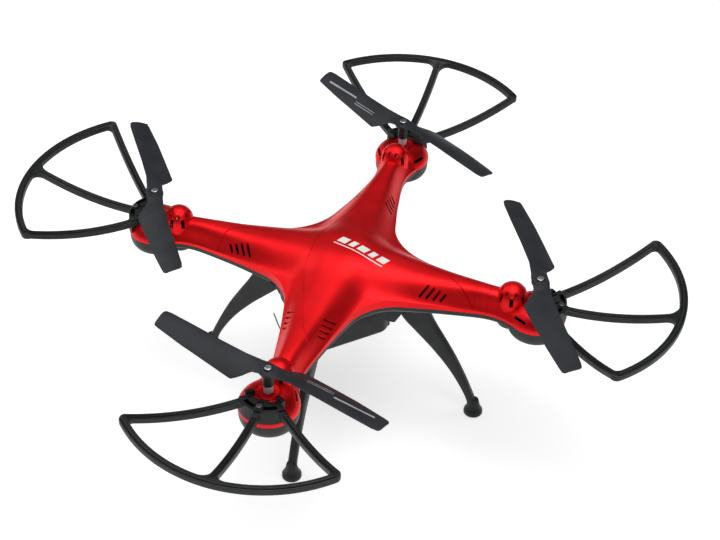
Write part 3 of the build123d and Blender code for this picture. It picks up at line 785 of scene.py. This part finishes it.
def make_blade_stripes(arm, blade_angle):
    """Plain thin stripes printed along one blade."""
    stripes = []
    for start, end, y, width in ((20, 36, -5.2, 0.35), (20, 36, -6.6, 0.35), (38, 62, -3.4, 1.1)):
        corners = [(start, y), (end, y), (end, y + width), (start, y + width)]
        stripes.append(print_patch(corners, 0, blade_top))
    stripes = turn(gather(stripes), blade_angle)
    set_propeller(stripes, arm)
    stripes.name = f"blade_stripes_{arm}"
    finish_piece(shade(stripes), "print_grey", f"rotor_{arm}")


def make_propeller(arm):
    """A two-blade propeller with its sleeve, at its rest angle."""
    hub = [(1.01, 99.9), (2.5, 99.9), (2.9, 100.3), (2.9, 107.4), (3.4, 108.0), (4.7, 108.7), (4.8, 110.2),
           (4.5, 110.75), (2.35, 110.9), (2.1, 109.9), (0.72, 109.8), (0.72, 108.4), (1.01, 108.4)]
    pieces = [lathe("hub", hub, 0, 0, 64), blade(), turn(blade(), 180)]
    for side in (-1, 1):
        rib = box("rib", (-0.45, 0.45), (side * 2.6 - 0.7, side * 2.6 + 0.7), (100.4, 107.6), 0.3)
        pieces.append(rib)
    propeller = gather(pieces)
    set_propeller(propeller, arm)
    propeller.name = f"propeller_skin_{arm}"
    return finish_piece(shade(propeller, 40), "blade_plastic", f"rotor_{arm}", [f"propeller_{arm}"])


# ---- guards ----
RING_OUT, RING_IN, SIDE_SPOKE, CLIP_OUT = 78.4, 74.2, 46.4, 15.7
SPOKE = 2.05


def polar(radius, degrees):
    """A flat point at a radius and an angle."""
    return (radius * math.cos(math.radians(degrees)), radius * math.sin(math.radians(degrees)))


def window_half(corner):
    """Half of a guard window's outline, from the clip along a spoke to the ring, its corner rounded."""
    outer = (math.sqrt((RING_IN - corner) ** 2 - (SPOKE + corner) ** 2), SPOKE + corner)
    inner = (math.sqrt((CLIP_OUT + 2) ** 2 - (SPOKE + 2) ** 2), SPOKE + 2)
    at_ring = math.degrees(math.atan2(outer[1], outer[0]))
    at_clip = math.degrees(math.atan2(inner[1], inner[0]))
    middle = SIDE_SPOKE / 2
    line = [polar(CLIP_OUT, angle) for angle in np.linspace(middle, at_clip, 5)[:-1]]
    line += arc(inner, 2.0, 180 + at_clip, 270, 6)
    line += arc(outer, corner, -90, at_ring, 8)
    return line + [polar(RING_IN, angle) for angle in np.linspace(at_ring, middle, 9)[1:]]


def window(side):
    """A whole window outline, on one side of the middle spoke."""
    turn_by = math.radians(SIDE_SPOKE)
    mirrored = [(x * math.cos(turn_by) + y * math.sin(turn_by), x * math.sin(turn_by) - y * math.cos(turn_by))
                for x, y in window_half(2.6)[-2:0:-1]]
    return [(x, side * y) for x, y in window_half(4.8) + mirrored]


def guard_outline():
    """The guard's outside edge: two side spokes and the ring, with rounded corners."""
    corner = (math.sqrt((RING_OUT - 3.5) ** 2 - (3.5 - SPOKE) ** 2), SPOKE - 3.5)
    reach = math.degrees(math.atan2(corner[1], corner[0]))
    spoke = [(11.0, SPOKE)] + arc(corner, 3.5, 90, reach, 7)
    turn_by = math.radians(SIDE_SPOKE)
    half = [(x * math.cos(turn_by) - y * math.sin(turn_by), x * math.sin(turn_by) + y * math.cos(turn_by))
            for x, y in spoke]
    turns = np.linspace(SIDE_SPOKE + reach, -SIDE_SPOKE - reach, 49)[1:-1]
    ring = [polar(RING_OUT, angle) for angle in turns]
    return half + ring + [(x, -y) for x, y in half[::-1]]


def plate(name, outline, holes, low, high):
    """A flat plate with holes."""
    loops = [outline, *holes]
    flat = [Vector((x, y, 0)) for loop in loops for x, y in loop]
    triangles = tessellate_polygon([[Vector((x, y, 0)) for x, y in loop] for loop in loops])
    count = len(flat)
    points = [(p.x, p.y, low) for p in flat] + [(p.x, p.y, high) for p in flat]
    faces = []
    for face in triangles:
        faces += [tuple(face), tuple(spot + count for spot in face[::-1])]
    start = 0
    for loop in loops:
        for spot in range(len(loop)):
            a, b = start + spot, start + (spot + 1) % len(loop)
            faces.append((a, b, b + count, a + count))
        start += len(loop)
    return tidy(mesh_object(name, points, faces))


def channel():
    """The shallow channel along the tops of the spokes and the ring."""
    high = 10
    strips = []
    for angle in (-SIDE_SPOKE, 0, SIDE_SPOKE):
        strip = box("strip", (19, RING_IN - 0.6), (-0.7, 0.7), (3.1, high))
        strips.append(turn(strip, angle))
    arcs = [polar(RING_IN + 1.2, a) for a in np.linspace(-45.4, 45.4, 60)]
    arcs += [polar(RING_OUT - 1.2, a) for a in np.linspace(45.4, -45.4, 60)]
    return strips + [prism("hoop", arcs, 3.1, high)]


def clip_block(outline, start, end, steps=28):
    """A solid (radius, z) section swept round the rotor axis."""
    rings = []
    for angle in np.radians(np.linspace(start, end, steps)):
        rings.append([(r * math.cos(angle), r * math.sin(angle), z) for r, z in outline])
    return skin("clip", rings)


def guard_clip():
    """The block that holds a guard to its pod, with an ear at each end."""
    under = [(16.0, 87.6), (15.4, 89.1), (14.0, 91.2), (11.9, 92.9), (9.0, 94.1), (8.6, 94.2)]
    top = [(8.6, 95.7), (9.2, 96.3), (15.0, 96.4), (15.7, 95.8), (16.5, 87.6)]
    clip = clip_block(under + top, -52, 52)
    outline = [(7.0, 94.6), (12.2, 93.0), (12.2, 97.0), (11.4, 97.7), (7.8, 97.7), (7.0, 97.0)]
    ears = [clip_block(outline, a, b, 8)
            for a, b in ((-64, -52.5), (52.5, 64))]
    return combine(clip, ears, "UNION")


def clip_pockets():
    """The pockets and the screw recess in a clip."""
    pockets = [clip_block([(12.3, 92.9), (14.7, 92.9), (14.7, 98), (12.3, 98)], a, b, 12)
               for a, b in ((-39, -9.5), (9.5, 39))]
    pockets.append(lathe("recess", [(0, 95.5), (2.0, 95.5), (2.1, 98), (0, 98)], 10.9, 0, 24))
    pockets += [turn(box("notch", (8, 11.6), (-0.5, 0.5), (95.5, 98)), side * 42) for side in (-1, 1)]
    return gather(pockets)


def guard_form():
    """A whole guard on its rotor axis: flat frame, channel, rounded rims, then its rise to the ring."""
    frame_plate = plate("guard", guard_outline(), [window(1), window(-1)], 0, 3.5)
    combine(frame_plate, [gather_union(channel())], "DIFFERENCE")

    def soften(work):
        sharp = [e for e in work.edges if len(e.link_faces) == 2 and e.calc_face_angle() > math.radians(60)
                 and abs(e.verts[0].co.z - e.verts[1].co.z) < 0.01 * MM]
        bmesh.ops.bevel(work, geom=sharp, offset=0.5 * MM, segments=2, affect="EDGES", profile=0.5)
        for place in np.arange(12, 80, 2.6):
            every = [*work.verts, *work.edges, *work.faces]
            bmesh.ops.bisect_plane(work, geom=every, plane_co=(place * MM, 0, 0), plane_no=(1, 0, 0))
        for point in work.verts:
            radius = min(point.co.xy.length / MM, 75)
            point.co.z += (91.5 + 13.6 * max(0, (radius - 15) / 60) ** 2) * MM
    edit(frame_plate, soften)
    combine(frame_plate, [guard_clip()], "UNION")
    return combine(frame_plate, [clip_pockets()], "DIFFERENCE")


def make_guards():
    """A guard on each arm."""
    form = guard_form()
    form.data.transform(Matrix.Translation((REACH * MM, 0, 0)))
    for arm, angle in ARMS.items():
        copy = bpy.data.objects.new(f"guard_skin_{arm}", form.data.copy())
        bpy.context.scene.collection.objects.link(copy)
        turn(copy, angle)
        finish_piece(shade(copy, 38), "black_plastic", "root", [f"guard_{arm}"])
    bpy.data.objects.remove(form)


# ---- legs ----
def leg_form():
    """A curved leg: a broad web at its root, a rounded strut and a bulb foot."""
    outer = smooth_line([(50.5, 79.2), (51.8, 73.0), (53.8, 67.0), (57.1, 60.6), (62.0, 52.5), (68.9, 40.5),
                         (74.7, 28.5), (79.4, 17.5), (82.5, 9.5), (84.0, 5.0)], 60)
    inner = smooth_line([(43.4, 79.2), (39.4, 71.5), (36.0, 65.6), (37.6, 61.0), (45.0, 53.6), (55.6, 43.0),
                         (65.0, 31.8), (72.0, 21.0), (76.8, 11.5), (78.6, 5.0)], 60)
    rings = []
    for spot, (out, back) in enumerate(zip(outer, inner)):
        middle, half = (out + back) / 2, (out - back) / 2
        thick = np.interp(spot, [0, 14, 40, 59], [3.0, 2.7, 2.5, 2.5])
        ring = []
        for turn_by in np.linspace(0, 2 * math.pi, 25)[:-1]:
            c, s = math.cos(turn_by), math.sin(turn_by)
            across = math.copysign(abs(c) ** 0.62, c)
            side = math.copysign(abs(s) ** 0.62, s)
            ring.append((middle[0] + across * half[0], side * thick, middle[1] + across * half[1]))
        rings.append(ring)
    corners = [(43.6, -7.2), (51.5, -7.2), (51.5, 7.2), (43.6, 7.2)]
    flange = prism("flange", rounded(corners, [1.6] * 4), 77.3, 79.3)
    foot = [(0, 0), (5.1, 0), (5.5, 0.4), (5.5, 1.9), (4.8, 3.3), (4.0, 4.8),
            (3.5, 6.6), (3.1, 8.6), (2.7, 10.0), (0, 10.6)]
    leg = combine(skin("leg", rings), [flange, lathe("foot", foot, 81.8, 0, 48)], "UNION")
    holes = [lathe("hole", washer(0, 0.85, 76, 80), 47.5, side * 5, 16) for side in (-1, 1)]
    return combine(leg, [gather(holes)], "DIFFERENCE")


def make_legs():
    """A leg under each arm."""
    form = leg_form()
    for arm, angle in ARMS.items():
        copy = bpy.data.objects.new(f"leg_skin_{arm}", form.data.copy())
        bpy.context.scene.collection.objects.link(copy)
        turn(copy, angle)
        finish_piece(shade(copy, 40), "black_plastic", "root", [f"leg_{arm}"])
    bpy.data.objects.remove(form)


# ---- printed marks ----
def print_patch(corners, angle, surface):
    """A thin printed four-sided patch that follows a surface; its corners are on one arm."""
    a, b, c, d = (np.array(corner, float) for corner in corners)
    steps = np.linspace(0, 1, 9)
    flat = [(1 - v) * ((1 - u) * a + u * b) + v * ((1 - u) * d + u * c) for v in steps for u in steps]
    points = [(x, y, surface(x, y) + 0.05) for x, y in flat]
    points += [(x, y, surface(x, y) - 0.2) for x, y in flat]
    faces = []
    for row in range(8):
        for column in range(8):
            p = row * 9 + column
            faces += [(p, p + 1, p + 10, p + 9), (p + 90, p + 91, p + 82, p + 81)]
    edge = [(r, r + 1) for r in range(8)] + [(8 + 9 * r, 17 + 9 * r) for r in range(8)]
    edge += [(80 - r, 79 - r) for r in range(8)] + [(72 - 9 * r, 63 - 9 * r) for r in range(8)]
    faces += [(p, p + 81, q + 81, q) for p, q in edge]
    return turn(tidy(mesh_object("patch", points, faces)), angle)


def make_print():
    """A row of slanted bars over a thin line, printed on the front right arm."""
    patches = []
    tilt = math.radians(-13)
    ahead, up = np.array([math.cos(tilt), math.sin(tilt)]), np.array([-math.sin(tilt), math.cos(tilt)])
    start = np.array([-3.5, 1.8])
    for index, width in enumerate((5.2, 3.4, 5.2, 3.4, 5.2)):
        foot = start + ahead * (sum((5.2, 3.4, 5.2, 3.4, 5.2)[:index]) + 2.0 * index)
        patches.append(print_patch([foot, foot + ahead * width, foot + ahead * (width + 1.4) + up * 4.6,
                                    foot + ahead * 1.4 + up * 4.6], 45, crown))
    line = start - up * 2.3 - ahead * 0.8
    patches.append(print_patch([line, line + ahead * 31, line + ahead * 31.3 + up * 0.7,
                                line + ahead * 0.3 + up * 0.7], 45, crown))
    marks = gather(patches)
    marks.name = "printed_bars"
    finish_piece(shade(marks), "print_white", "root")


# ---- build ----
def dress_cad_nodes():
    """Gives the CAD nodes that stay in view the same finishes as their record slots."""
    finishes = {
        "propeller_screw": "steel", "shaft_collar": "pale_metal", "rotor_shaft": "steel",
        "drive_gear": "white_plastic", "motor_pinion": "brass", "motor": "motor_can",
        "shaft_bushes": "brass", "battery_box": "black_plastic", "battery_door": "black_plastic",
        "door_hinge_pin": "steel", "battery": "battery_wrap", "battery_lead": "wire_insulation",
        "battery_connector": "white_plastic", "circuit_board": "board_green",
        "board_components": "chip_black", "motor_wires": "wire_insulation",
        "power_switch_body": "dark_steel", "power_switch_slider": "white_plastic",
        "shell_screws": "dark_steel", "leg_screws": "dark_steel", "guard_screws": "dark_steel",
        "status_lights": "clear_lens", "antenna_wire": "antenna_insulation", "top_shell": "red_paint",
        "bottom_shell": "slate_plastic", "leg": "black_plastic", "guard": "black_plastic",
        "propeller": "blade_plastic",
    }
    for name, node in NODES.items():
        kind = name
        for arm in ARMS:
            kind = kind.removesuffix("_" + arm)
        node.data.materials.clear()
        node.data.materials.append(MATERIALS[finishes[kind]])


MATERIALS.update(make_materials())
make_camera()
make_antenna()
dress_cad_nodes()
make_top_shell()
make_bottom_shell()
for arm_name in ARMS:
    make_propeller(arm_name)
make_guards()
make_legs()
make_print()
make_blade_stripes("rear_right", 180)
make_blade_stripes("front_left", 0)
make_studio()
